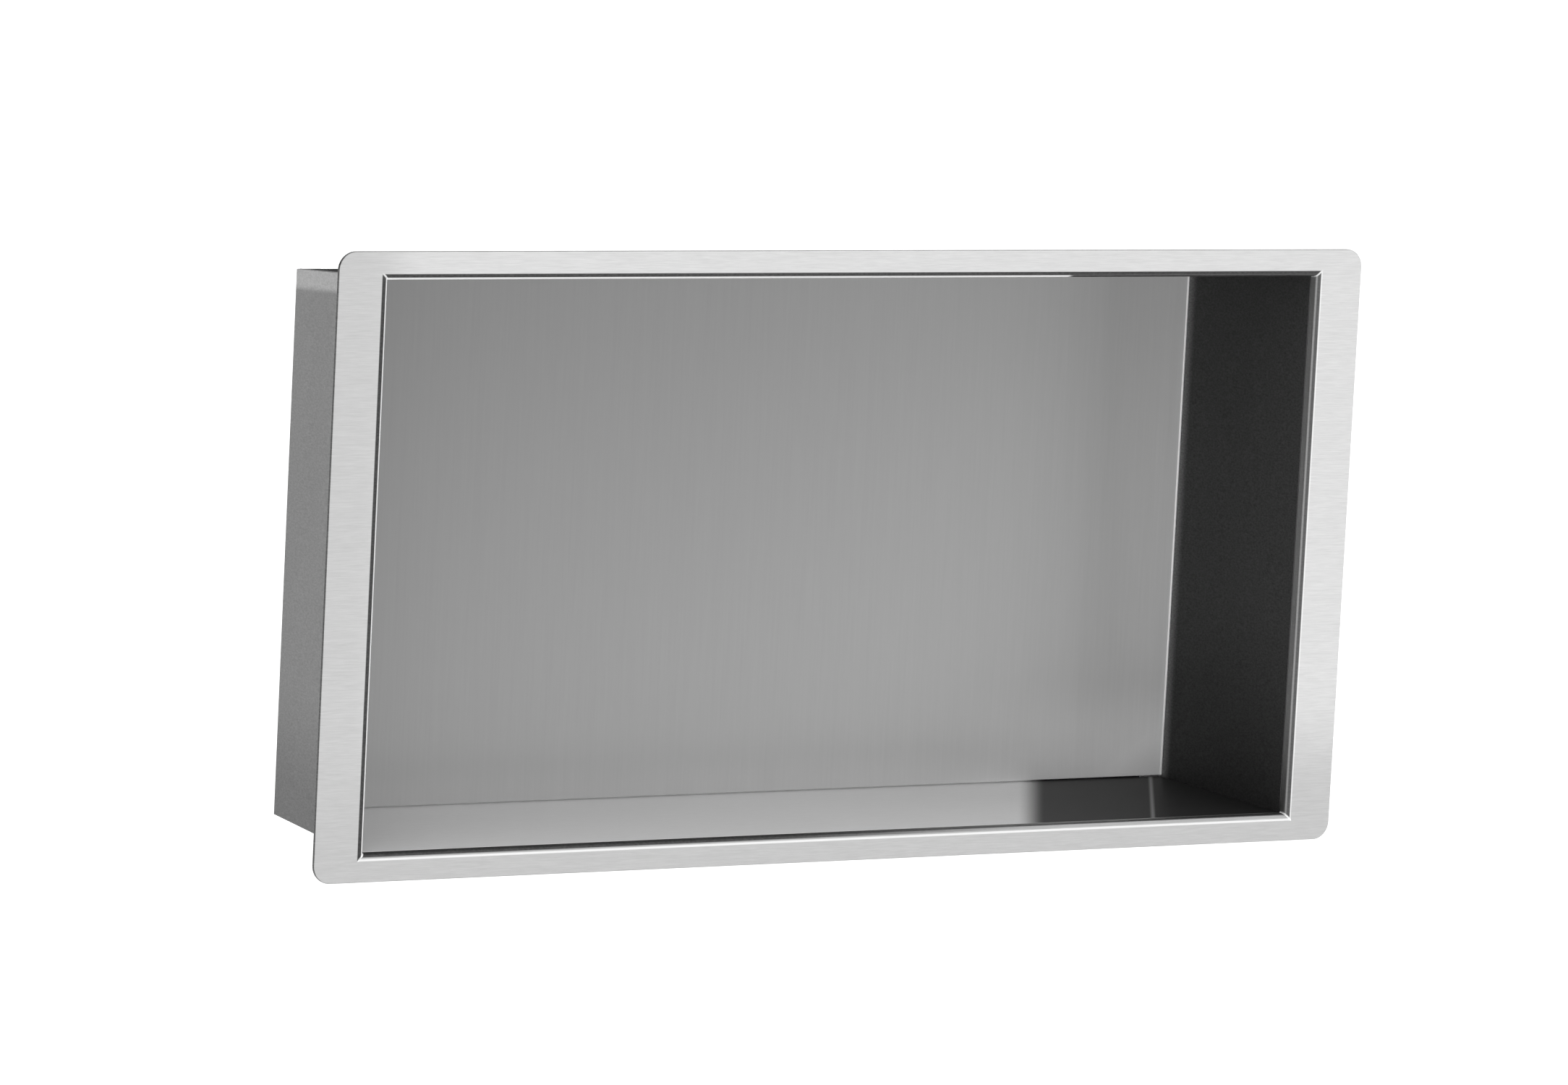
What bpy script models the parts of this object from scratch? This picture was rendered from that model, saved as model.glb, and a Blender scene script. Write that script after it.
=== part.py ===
"""Recessed wall niche in brushed stainless steel sheet.

A shallow open box sits in a hole in a wall, and a flat flange covers the edge of the hole. The box
narrows towards the rear: its sides and top have a draft, and its floor falls a little to the front,
so that water runs out. It is made of six pieces of bent or flat sheet, welded or bonded where they
meet:

- front_flange: a one-piece frame whose inner edge rolls back into a short lip;
- left_wall, right_wall, top_wall, bottom_wall: the box's sides, each with a return bent inwards
  at the rear;
- back_panel: the satin sheet that lies against the four returns.

Frame: +X to the right, +Y into the wall, +Z up. The origin is the centre of the opening, in the
plane of the wall's surface, which is the plane of the flange's rear face. Lengths are in metres.
"""

import math

import bmesh
import bpy

# ---------------------------------------------------------------- driving dimensions
OVERALL_WIDTH = 0.610
OVERALL_HEIGHT = 0.320
OVERALL_DEPTH = 0.118
STILE_WIDTH = 0.028  # flange beside the opening
RAIL_WIDTH = 0.0145  # flange above and below the opening
FLANGE_CORNER_RADIUS = 0.0095
FLANGE_SHEET = 0.0020
ROLL_RADIUS = 0.0030  # visible radius where the flange rolls into its lip
LIP_DEPTH = 0.0060  # from the flange's front face to the lip's rear edge
SIDE_DRAFT = 0.0070  # how far each side wall leans in from the lip to the rear
TOP_DRAFT = 0.0080  # how far the top wall comes down
FLOOR_DRAFT = 0.0020  # how far the bottom wall rises
WALL_SHEET = 0.0012
BEND_RADIUS = 0.0020  # outside radius of the walls' rear bends
RETURN_WIDTH = 0.0140  # width of the rear returns, from the wall's outer face
PANEL_SHEET = 0.0012
PANEL_CLEARANCE = 0.0008  # between the panel's edges and the walls
PANEL_EDGE_BREAK = 0.0002
GAP = 0.0003  # between pieces that touch

# ---------------------------------------------------------------- worked out from them
FRONT_Y = -FLANGE_SHEET
REAR_Y = OVERALL_DEPTH - FLANGE_SHEET
HALF_OPENING_WIDTH = OVERALL_WIDTH / 2 - STILE_WIDTH
HALF_OPENING_HEIGHT = OVERALL_HEIGHT / 2 - RAIL_WIDTH
WALL_FRONT_Y = FRONT_Y + LIP_DEPTH + GAP
RETURN_FRONT_Y = REAR_Y - WALL_SHEET
INNER_BEND_RADIUS = BEND_RADIUS - WALL_SHEET

ROLL_STEPS = 8
BEND_STEPS = 6
CORNER_STEPS = 10
CUTTER_MARGIN = 0.002
SMOOTH_ANGLE = math.radians(35)


# ---------------------------------------------------------------- scene and materials
def clear_scene():
    for obj in list(bpy.data.objects):
        bpy.data.objects.remove(obj, do_unlink=True)


def new_collection(name):
    collection = bpy.data.collections.new(name)
    bpy.context.scene.collection.children.link(collection)
    return collection


def steel(name, grey, roughness):
    material = bpy.data.materials.new(name)
    material.use_nodes = True
    shader = material.node_tree.nodes["Principled BSDF"]
    shader.inputs["Base Color"].default_value = (grey, grey, grey, 1.0)
    shader.inputs["Metallic"].default_value = 1.0
    shader.inputs["Roughness"].default_value = roughness
    return material


def linished_face():
    return steel("linished_face", 0.66, 0.34)


def brushed_wall():
    return steel("brushed_wall", 0.42, 0.36)


def satin_panel():
    return steel("satin_panel", 0.50, 0.42)


# ---------------------------------------------------------------- building blocks
def finish_sheet(name, mesh_builder, sheet, material, collection):
    """Turns an open surface into a sheet metal part. The sheet's thickness lies behind the surface's
    visible side."""
    mesh = bpy.data.meshes.new(name)
    mesh_builder.to_mesh(mesh)
    mesh_builder.free()
    mesh.materials.append(material)
    obj = bpy.data.objects.new(name, mesh)
    collection.objects.link(obj)
    thickness = obj.modifiers.new("sheet", "SOLIDIFY")
    thickness.thickness = sheet
    thickness.offset = -1.0
    thickness.use_even_offset = True
    thickness.use_quality_normals = True
    mesh.shade_smooth()
    mesh.set_sharp_from_angle(angle=SMOOTH_ANGLE)
    return obj


def face_towards(mesh_builder, seen_from):
    """Points every face of one open surface to the side that seen_from looks at, judged by the
    surface's largest face."""
    bmesh.ops.recalc_face_normals(mesh_builder, faces=mesh_builder.faces)
    largest = max(mesh_builder.faces, key=lambda face: face.calc_area())
    largest.normal_update()
    if largest.normal.dot(seen_from) < 0:
        bmesh.ops.reverse_faces(mesh_builder, faces=mesh_builder.faces)


def box(name, low, high, collection):
    """A closed box between two corners, with its origin at its centre."""
    centre = [(a + b) / 2 for a, b in zip(low, high)]
    bpy.ops.mesh.primitive_cube_add(size=1.0, location=centre)
    obj = bpy.context.object
    obj.name = name
    obj.scale = [b - a for a, b in zip(low, high)]
    bpy.ops.object.transform_apply(location=False, rotation=False, scale=True)
    for owner in list(obj.users_collection):
        owner.objects.unlink(obj)
    collection.objects.link(obj)
    return obj


def cut(obj, cutter):
    boolean = obj.modifiers.new("cut_" + cutter.name, "BOOLEAN")
    boolean.operation = "DIFFERENCE"
    boolean.solver = "EXACT"
    boolean.object = cutter


# ---------------------------------------------------------------- front flange
def roll_section():
    """The rolled edge as (distance outside the opening, y), from the lip's rear edge to the flange's
    flat face: a straight lip, then a quarter circle."""
    points = [(0.0, FRONT_Y + LIP_DEPTH)]
    for step in range(ROLL_STEPS + 1):
        angle = math.pi / 2 * step / ROLL_STEPS
        outside = ROLL_RADIUS * (1 - math.cos(angle))
        points.append((outside, FRONT_Y + ROLL_RADIUS * (1 - math.sin(angle))))
    return points


def rounded_outline(half_width, half_height, radius):
    """Corner points of a rectangle with round corners, anticlockwise from the right-hand side."""
    points = []
    corners = [(1, 1), (-1, 1), (-1, -1), (1, -1)]
    for quarter, (x_side, z_side) in enumerate(corners):
        centre_x = x_side * (half_width - radius)
        centre_z = z_side * (half_height - radius)
        for step in range(CORNER_STEPS + 1):
            angle = math.pi / 2 * (quarter + step / CORNER_STEPS)
            x = centre_x + radius * math.cos(angle)
            points.append((x, centre_z + radius * math.sin(angle)))
    return points


def front_flange(collection):
    """The rolled edge is drawn out of the opening's four corners one step at a time, so that its
    corners are mitred, and the flat face is filled between it and the outer outline."""
    section = roll_section()
    builder = bmesh.new()
    first_y = section[0][1]
    signs = [(1, 1), (-1, 1), (-1, -1), (1, -1)]
    loop = [
        builder.verts.new((x * HALF_OPENING_WIDTH, first_y, z * HALF_OPENING_HEIGHT))
        for x, z in signs
    ]
    edges = [builder.edges.new((loop[i], loop[(i + 1) % 4])) for i in range(4)]
    for outside, y in section[1:]:
        drawn = bmesh.ops.extrude_edge_only(builder, edges=edges)["geom"]
        for vertex in (g for g in drawn if isinstance(g, bmesh.types.BMVert)):
            vertex.co.x = math.copysign(HALF_OPENING_WIDTH + outside, vertex.co.x)
            vertex.co.z = math.copysign(HALF_OPENING_HEIGHT + outside, vertex.co.z)
            vertex.co.y = y
        edges = [g for g in drawn if isinstance(g, bmesh.types.BMEdge)]
    outline = rounded_outline(OVERALL_WIDTH / 2, OVERALL_HEIGHT / 2, FLANGE_CORNER_RADIUS)
    rim = [builder.verts.new((x, FRONT_Y, z)) for x, z in outline]
    rim_edges = [
        builder.edges.new((rim[i], rim[(i + 1) % len(rim)])) for i in range(len(rim))
    ]
    bmesh.ops.triangle_fill(
        builder, edges=edges + rim_edges, use_beauty=True, normal=(0, -1, 0)
    )
    face_towards(builder, (0, -1, 0))
    return finish_sheet(
        "front_flange", builder, FLANGE_SHEET, linished_face(), collection
    )


# ---------------------------------------------------------------- walls
def narrowed(x, y, z):
    """Where a point of a straight-sided box goes when the box narrows from the lip to the rear."""
    share = (y - WALL_FRONT_Y) / (REAR_Y - WALL_FRONT_Y)
    height_draft = TOP_DRAFT if z > 0 else FLOOR_DRAFT
    narrow_x = math.copysign(abs(x) - SIDE_DRAFT * share, x)
    return narrow_x, y, math.copysign(abs(z) - height_draft * share, z)


def wall_section():
    """A wall's inner face as (distance inside the opening's edge, y): the straight wall, the rear
    bend's inner arc, then the front of the return."""
    points = [(0.0, WALL_FRONT_Y)]
    centre_y = RETURN_FRONT_Y - INNER_BEND_RADIUS
    for step in range(BEND_STEPS + 1):
        angle = math.pi / 2 * step / BEND_STEPS
        inside = INNER_BEND_RADIUS * (1 - math.cos(angle))
        points.append((inside, centre_y + INNER_BEND_RADIUS * math.sin(angle)))
    points.append((RETURN_WIDTH - WALL_SHEET, RETURN_FRONT_Y))
    return points


def bent_wall(name, across, side, half_opening, half_length, material, collection):
    """A wall with its return. across is the axis that the wall faces along, 0 for a side wall and 2
    for the top and bottom, and side is the sign of the wall's place on it."""
    along = 2 - across
    builder = bmesh.new()
    row = []
    for inside, y in wall_section():
        place = [0.0, y, 0.0]
        place[across] = side * (half_opening - inside)
        place[along] = -half_length
        row.append(builder.verts.new(place))
    edges = [builder.edges.new(pair) for pair in zip(row, row[1:])]
    drawn = bmesh.ops.extrude_edge_only(builder, edges=edges)["geom"]
    for vertex in (g for g in drawn if isinstance(g, bmesh.types.BMVert)):
        vertex.co[along] = half_length
    for vertex in builder.verts:
        vertex.co = narrowed(*vertex.co)
    seen_from = [0.0, 0.0, 0.0]
    seen_from[across] = -side
    face_towards(builder, seen_from)
    return finish_sheet(name, builder, WALL_SHEET, material, collection)


def side_walls(collection, material):
    half_length = HALF_OPENING_HEIGHT + WALL_SHEET
    for name, side in (("left_wall", -1), ("right_wall", 1)):
        bent_wall(name, 0, side, HALF_OPENING_WIDTH, half_length, material, collection)


def corner_notches(collection):
    """Cutters that clear the side walls' returns out of the top and bottom walls' rear corners."""
    low_x = HALF_OPENING_WIDTH - SIDE_DRAFT + WALL_SHEET - RETURN_WIDTH - GAP
    high_x = HALF_OPENING_WIDTH + CUTTER_MARGIN
    high_z = HALF_OPENING_HEIGHT + WALL_SHEET + CUTTER_MARGIN
    notches = []
    for name, side in (("left_notch", -1), ("right_notch", 1)):
        x_range = sorted((side * low_x, side * high_x))
        low = (x_range[0], REAR_Y - BEND_RADIUS, -high_z)
        high = (x_range[1], REAR_Y + CUTTER_MARGIN, high_z)
        notch = box(name, low, high, collection)
        notch.hide_render = True
        notch.display_type = "WIRE"
        notches.append(notch)
    return notches


def top_and_bottom_walls(collection, material, notches):
    half_length = HALF_OPENING_WIDTH - GAP
    for name, side in (("top_wall", 1), ("bottom_wall", -1)):
        wall = bent_wall(
            name, 2, side, HALF_OPENING_HEIGHT, half_length, material, collection
        )
        for notch in notches:
            cut(wall, notch)


# ---------------------------------------------------------------- back panel
def back_panel(collection):
    half_width = HALF_OPENING_WIDTH - PANEL_CLEARANCE
    half_height = HALF_OPENING_HEIGHT - PANEL_CLEARANCE
    rear = RETURN_FRONT_Y - GAP
    left, _, foot = narrowed(-half_width, rear, -half_height)
    right, _, head = narrowed(half_width, rear, half_height)
    low = (left, rear - PANEL_SHEET, foot)
    high = (right, rear, head)
    panel = box("back_panel", low, high, collection)
    panel.data.materials.append(satin_panel())
    edges = panel.modifiers.new("broken_edges", "BEVEL")
    edges.width = PANEL_EDGE_BREAK
    edges.segments = 2
    return panel


def main():
    clear_scene()
    niche = new_collection("wall_niche")
    cutters = new_collection("cutters")
    wall_finish = brushed_wall()
    front_flange(niche)
    side_walls(niche, wall_finish)
    top_and_bottom_walls(niche, wall_finish, corner_notches(cutters))
    back_panel(niche)


main()
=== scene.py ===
"""Looks of a recessed stainless wall niche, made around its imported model.

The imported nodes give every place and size. Each sub-assembly below replaces its node with a finer
sheet: a middle surface worked out as whole arrays, given its gauge, a rounded rim and exact normals.
"""

import logging
import math
from dataclasses import dataclass
from enum import Enum
from typing import Any, Callable, Optional, Sequence

import bpy
import numpy as np
from mathutils import Matrix, Vector


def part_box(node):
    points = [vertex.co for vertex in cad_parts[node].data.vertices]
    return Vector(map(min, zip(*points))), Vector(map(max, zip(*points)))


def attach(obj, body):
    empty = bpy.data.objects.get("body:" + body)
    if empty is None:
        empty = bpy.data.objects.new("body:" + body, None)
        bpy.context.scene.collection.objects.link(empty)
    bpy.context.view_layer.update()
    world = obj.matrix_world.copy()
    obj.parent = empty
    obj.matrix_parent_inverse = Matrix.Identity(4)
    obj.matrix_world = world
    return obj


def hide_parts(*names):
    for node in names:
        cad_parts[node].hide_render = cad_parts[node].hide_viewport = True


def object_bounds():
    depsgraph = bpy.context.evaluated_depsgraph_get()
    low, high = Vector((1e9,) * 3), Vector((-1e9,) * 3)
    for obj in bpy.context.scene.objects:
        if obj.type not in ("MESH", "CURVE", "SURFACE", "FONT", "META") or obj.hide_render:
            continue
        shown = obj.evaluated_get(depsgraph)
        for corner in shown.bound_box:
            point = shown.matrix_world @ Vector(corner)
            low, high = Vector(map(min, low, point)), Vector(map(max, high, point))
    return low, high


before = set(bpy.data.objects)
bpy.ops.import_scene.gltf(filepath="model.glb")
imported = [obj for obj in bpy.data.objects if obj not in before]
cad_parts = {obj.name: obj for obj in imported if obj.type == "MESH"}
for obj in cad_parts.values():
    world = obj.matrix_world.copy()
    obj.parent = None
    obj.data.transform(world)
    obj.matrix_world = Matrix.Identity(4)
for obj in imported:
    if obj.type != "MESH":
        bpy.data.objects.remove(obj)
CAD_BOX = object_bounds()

LOG = logging.getLogger("wall_niche")
ROOT_BODY = "root"
WELD_DISTANCE = 1e-6

WIDTH_AXIS = np.array((1.0, 0.0, 0.0))
DEPTH_AXIS = np.array((0.0, 1.0, 0.0))
HEIGHT_AXIS = np.array((0.0, 0.0, 1.0))


class Slot(Enum):
    """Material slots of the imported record."""

    FLANGE = "linished_face"
    WALL = "brushed_wall"
    PANEL = "satin_panel"


class Side(Enum):
    """The four sides of the niche, each with its outward direction."""

    TOP = (0.0, 0.0, 1.0)
    LEFT = (-1.0, 0.0, 0.0)
    BOTTOM = (0.0, 0.0, -1.0)
    RIGHT = (1.0, 0.0, 0.0)

    @property
    def outward(self) -> np.ndarray:
        """Unit vector from the middle of the opening to this side."""
        return np.array(self.value)

    @property
    def upright(self) -> bool:
        """True for the two sides that stand upright."""
        return self in (Side.LEFT, Side.RIGHT)


# ---------------------------------------------------------------- surfaces


@dataclass
class Shell:
    """A surface as arrays: points, unit normals, four-cornered faces and named values at the points."""

    points: np.ndarray
    normals: np.ndarray
    faces: np.ndarray
    traits: dict[str, np.ndarray]

    @staticmethod
    def joined(shells: Sequence["Shell"]) -> "Shell":
        """One shell that holds all the given ones.

        Args:
            shells: Shells with the same traits.

        Returns:
            The shells' points and faces in one shell, each face numbered past the shells before it.
        """
        starts = np.cumsum([0] + [len(shell.points) for shell in shells[:-1]])
        names = set.intersection(*(set(shell.traits) for shell in shells))
        return Shell(
            np.concatenate([shell.points for shell in shells]),
            np.concatenate([shell.normals for shell in shells]),
            np.concatenate([shell.faces + start for shell, start in zip(shells, starts)]),
            {name: np.concatenate([shell.traits[name] for shell in shells]) for name in sorted(names)},
        )

    def mesh(self, name: str) -> bpy.types.Mesh:
        """The shell as a mesh, with points that meet made one and its own normals kept at the corners.

        Args:
            name: The mesh's name.

        Returns:
            A mesh whose quads that have closed up to a pole or a seam are triangles, or are gone.
        """
        keys = np.round(self.points / WELD_DISTANCE).astype(np.int64)
        _, first, merged = np.unique(keys, axis=0, return_index=True, return_inverse=True)
        corners = merged.reshape(-1)[self.faces]
        repeated = corners == np.roll(corners, -1, axis=1)
        quads = repeated.sum(axis=1) == 0
        thirds = repeated.sum(axis=1) == 1
        kept = ~repeated[thirds]
        triangles = corners[thirds][kept].reshape(-1, 3)
        bends = self.normals[self.faces]
        mesh = bpy.data.meshes.new(name)
        mesh.from_pydata(self.points[first].tolist(), [], corners[quads].tolist() + triangles.tolist())
        mesh.polygons.foreach_set("use_smooth", np.ones(len(mesh.polygons), dtype=bool))
        for trait, values in self.traits.items():
            layer = mesh.attributes.new(trait, "FLOAT", "POINT")
            layer.data.foreach_set("value", values[first].astype(np.float32))
        corner_normals = np.concatenate([bends[quads].reshape(-1, 3), bends[thirds][kept]])
        mesh.normals_split_custom_set(corner_normals.tolist())
        mesh.update()
        return mesh


def unit(vectors: np.ndarray) -> np.ndarray:
    """The vectors, each divided by its own length."""
    return vectors / np.linalg.norm(vectors, axis=-1, keepdims=True)


def blend(start: np.ndarray, end: np.ndarray, share: np.ndarray) -> np.ndarray:
    """Straight-line mix: start where share is 0, end where it is 1."""
    return start + (end - start) * share


def grid_quads(rows: int, columns: int) -> np.ndarray:
    """Faces of a grid of points.

    Args:
        rows: Points along the first parameter.
        columns: Points along the second.

    Returns:
        Array (rows - 1, columns - 1, 4): cell (i, j) joins points (i, j), (i+1, j), (i+1, j+1), (i, j+1).
    """
    ids = np.arange(rows * columns).reshape(rows, columns)
    return np.stack([ids[:-1, :-1], ids[1:, :-1], ids[1:, 1:], ids[:-1, 1:]], axis=-1)


@dataclass
class MiddleSurface:
    """The middle of a sheet on a grid of (along, across) points, with its directions at each point.

    Along, across and normal form a right-handed set: along x across = normal. The lean is the way a
    face point lies from the middle, the normal itself except where two sheets meet in a mitre.
    """

    points: np.ndarray
    along: np.ndarray
    across: np.ndarray
    normal: np.ndarray
    lean: np.ndarray
    traits: dict[str, np.ndarray]

    def sheet(
        self,
        gauge: float,
        edge: float,
        cells: Optional[np.ndarray] = None,
        open_ends: bool = False,
        rim_steps: int = 3,
    ) -> Shell:
        """Gives the middle surface its two faces and a rounded rim.

        A face point is middle + lean * gauge / 2, or minus on the inner face. The rim turns through a
        quarter circle of radius edge off each face: at angle a a rim point is
        middle + lean * (gauge / 2 - edge + edge * cos a) + out * edge * sin a, so the grid's own
        border lies one edge radius inside the sheet's real one.

        Args:
            gauge: Thickness of the sheet.
            edge: Radius that breaks its edges.
            cells: Which cells of the grid are sheet; all of them if None.
            open_ends: True leaves the first and last rows without a rim, to be joined to a neighbour.
            rim_steps: Flats in each quarter circle.

        Returns:
            A shell with the traits inner, 0 on the outer face to 1 on the inner, edge, 1 on the rim,
            and the middle surface's own.
        """
        rows, columns = self.points.shape[:2]
        count = rows * columns
        half = gauge / 2
        quads = grid_quads(rows, columns)
        quads = quads.reshape(-1, 4) if cells is None else quads[cells]

        # A directed side of a cell is on the border where no cell has the same side in reverse.
        sides = np.stack([quads, np.roll(quads, -1, axis=1)], axis=-1)
        forward = sides[..., 0] * count + sides[..., 1]
        reverse = sides[..., 1] * count + sides[..., 0]
        free = ~np.isin(forward, reverse)
        if open_ends:
            free[:, [1, 3]] = False
        signs = np.zeros((count, 2))
        for side, (axis, sign) in enumerate(((1, -1.0), (0, 1.0), (1, 1.0), (0, -1.0))):
            signs[sides[free[:, side], side].ravel(), axis] = sign

        def flat(field: np.ndarray) -> np.ndarray:
            """A grid of vectors as one list of vectors."""
            return field.reshape(count, 3)

        out = signs[:, :1] * flat(self.along) + signs[:, 1:] * flat(self.across)
        rim = np.unique(sides[free])
        turn = np.linspace(0.0, math.pi / 2, rim_steps + 1)
        rise = half - edge + edge * np.cos(turn)
        rise = np.concatenate([rise, -rise[::-1]])[1:-1, None, None]
        level = np.concatenate([np.cos(turn), -np.cos(turn[::-1])])[1:-1, None, None]
        swell = np.concatenate([np.sin(turn), np.sin(turn[::-1])])[1:-1, None, None]
        middle, lean, normal = flat(self.points), flat(self.lean), flat(self.normal)
        ring_points = middle[rim] + rise * lean[rim] + edge * swell * out[rim]
        ring_normals = unit(level * normal[rim] + swell * out[rim])

        rings = len(turn) * 2
        ring_ids = 2 * count + np.arange((rings - 2) * len(rim)).reshape(rings - 2, len(rim))
        ring_ids = np.concatenate([rim[None], ring_ids, rim[None] + count])
        ends = np.searchsorted(rim, sides[free])
        starts, stops = ring_ids[:, ends[:, 0]], ring_ids[:, ends[:, 1]]
        rim_quads = np.stack([stops[:-1], starts[:-1], starts[1:], stops[1:]], axis=-1)
        faces = np.concatenate([quads, quads[:, ::-1] + count, rim_quads.reshape(-1, 4)])

        ring_share = np.broadcast_to(np.linspace(0, 1, rings)[1:-1, None], (rings - 2, len(rim)))
        ring_swell = np.broadcast_to(swell[..., 0], (rings - 2, len(rim)))
        traits = {
            "inner": np.concatenate([np.zeros(count), np.ones(count), ring_share.ravel()]),
            "edge": np.concatenate([np.zeros(2 * count), ring_swell.ravel()]),
        }
        for name, values in self.traits.items():
            listed = values.ravel()
            traits[name] = np.concatenate([listed, listed, np.tile(listed[rim], rings - 2)])
        points = np.concatenate([middle + half * lean, middle - half * lean, ring_points.reshape(-1, 3)])
        normals = np.concatenate([normal, -normal, ring_normals.reshape(-1, 3)])
        used, renumbered = np.unique(faces, return_inverse=True)
        return Shell(
            points[used],
            normals[used],
            renumbered.reshape(faces.shape),
            {name: values[used] for name, values in traits.items()},
        )


def stations(*marks: float, steps: Sequence[int]) -> np.ndarray:
    """Values that run through the marks, with each gap between two marks cut into its number of steps."""
    runs = [np.linspace(a, b, n, endpoint=False) for a, b, n in zip(marks, marks[1:], steps)]
    return np.concatenate([*runs, [marks[-1]]])


@dataclass(frozen=True)
class WeldBead:
    """A seam weld: a round bead along a straight joint, with the ripples that the travelling pool leaves."""

    start: tuple[float, float, float]
    end: tuple[float, float, float]
    radius: float = 0.00045
    pitch: float = 0.0011
    ripple: float = 0.07

    def shell(self, around: int = 10, steps_per_ripple: int = 4) -> Shell:
        """The bead's surface.

        At distance s along the joint and angle a round it, the radius is
        radius * (1 + ripple * sin(2 pi s / pitch)) * taper, where the taper rises from 0 at each end
        as a quarter circle over one radius.

        Args:
            around: Points round the bead.
            steps_per_ripple: Points along each ripple.

        Returns:
            A closed shell with both ends drawn to a point.
        """
        start, end = np.array(self.start), np.array(self.end)
        length = float(np.linalg.norm(end - start))
        heading = (end - start) / length
        helper = HEIGHT_AXIS if abs(heading[2]) < 0.9 else WIDTH_AXIS
        first = unit(np.cross(heading, helper))
        second = np.cross(heading, first)
        cap = 1 - np.cos(np.linspace(0, math.pi / 2, 5))
        body = np.arange(1, max(2, int(length / self.pitch * steps_per_ripple))) / steps_per_ripple
        inside = body * self.pitch
        inside = inside[(inside > self.radius) & (inside < length - self.radius)]
        travel = np.concatenate([cap * self.radius, inside, length - cap[::-1] * self.radius])
        near_end = np.clip(np.minimum(travel, length - travel) / self.radius, 0, 1)
        taper = np.sqrt(1 - (1 - near_end) ** 2)
        swell = self.radius * taper * (1 + self.ripple * np.sin(2 * math.pi * travel / self.pitch))
        angle = np.linspace(0, 2 * math.pi, around + 1)[None, :, None]
        spoke = first * np.cos(angle) + second * np.sin(angle)
        points = start + heading * travel[:, None, None] + spoke * swell[:, None, None]
        normals = np.broadcast_to(spoke, points.shape)
        points[:, -1] = points[:, 0]
        count = points.shape[0] * points.shape[1]
        return Shell(
            points.reshape(-1, 3),
            normals.reshape(-1, 3).copy(),
            grid_quads(*points.shape[:2]).reshape(-1, 4)[:, ::-1],
            {"edge": np.zeros(count), "inner": np.zeros(count)},
        )


# ---------------------------------------------------------------- shaders


class Wire:
    """A shader socket that takes part in Python expressions."""

    def __init__(self, tree: "ShaderTree", socket: bpy.types.NodeSocket) -> None:
        """Holds the socket and the tree that its Math nodes go into."""
        self.tree = tree
        self.socket = socket

    def _math(self, operation: str, *values: Any, clamp: bool = False) -> "Wire":
        """The result of a Math node on the given values, in their order."""
        settings = {"operation": operation, "use_clamp": clamp}
        return self.tree.node("ShaderNodeMath", settings, dict(enumerate(values)))["Value"]

    def __add__(self, other: Any) -> "Wire":
        """self + other."""
        return self._math("ADD", self, other)

    __radd__ = __add__

    def __mul__(self, other: Any) -> "Wire":
        """self * other."""
        return self._math("MULTIPLY", self, other)

    __rmul__ = __mul__

    def __sub__(self, other: Any) -> "Wire":
        """self - other."""
        return self._math("SUBTRACT", self, other)

    def __rsub__(self, other: Any) -> "Wire":
        """other - self."""
        return self._math("SUBTRACT", other, self)

    def __abs__(self) -> "Wire":
        """The value without its sign."""
        return self._math("ABSOLUTE", self)

    def clamped(self) -> "Wire":
        """The value held between 0 and 1."""
        return self._math("ADD", self, 0.0, clamp=True)

    def rising(self, low: float, high: float) -> "Wire":
        """A smooth step: 0 up to low, 1 from high on."""
        return self.tree.node(
            "ShaderNodeMapRange",
            {"interpolation_type": "SMOOTHSTEP"},
            {"Value": self, "From Min": low, "From Max": high},
        )["Result"]

    def falling(self, low: float, high: float) -> "Wire":
        """A smooth step down: 1 up to low, 0 from high on."""
        return 1 - self.rising(low, high)

    def band(self, middle: float, half_width: float) -> "Wire":
        """A soft stripe: 1 at the middle, 0 from half_width away."""
        return abs(self - middle).falling(0.0, half_width)

    def stripe(self, low: float, high: float, soft: float = 0.0003) -> "Wire":
        """A flat stripe: 1 between low and high, with both borders softened."""
        return self.rising(low - soft, low + soft) * self.falling(high - soft, high + soft)


class Outlets:
    """The outputs of a shader node, read by name as Wires."""

    def __init__(self, tree: "ShaderTree", node: bpy.types.Node) -> None:
        """Holds the node and its tree."""
        self.tree = tree
        self.node = node

    def __getitem__(self, name: str) -> Wire:
        """The node's output of that name, among those in use."""
        found = [socket for socket in self.node.outputs if socket.name == name and socket.enabled]
        return Wire(self.tree, found[0])


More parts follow.
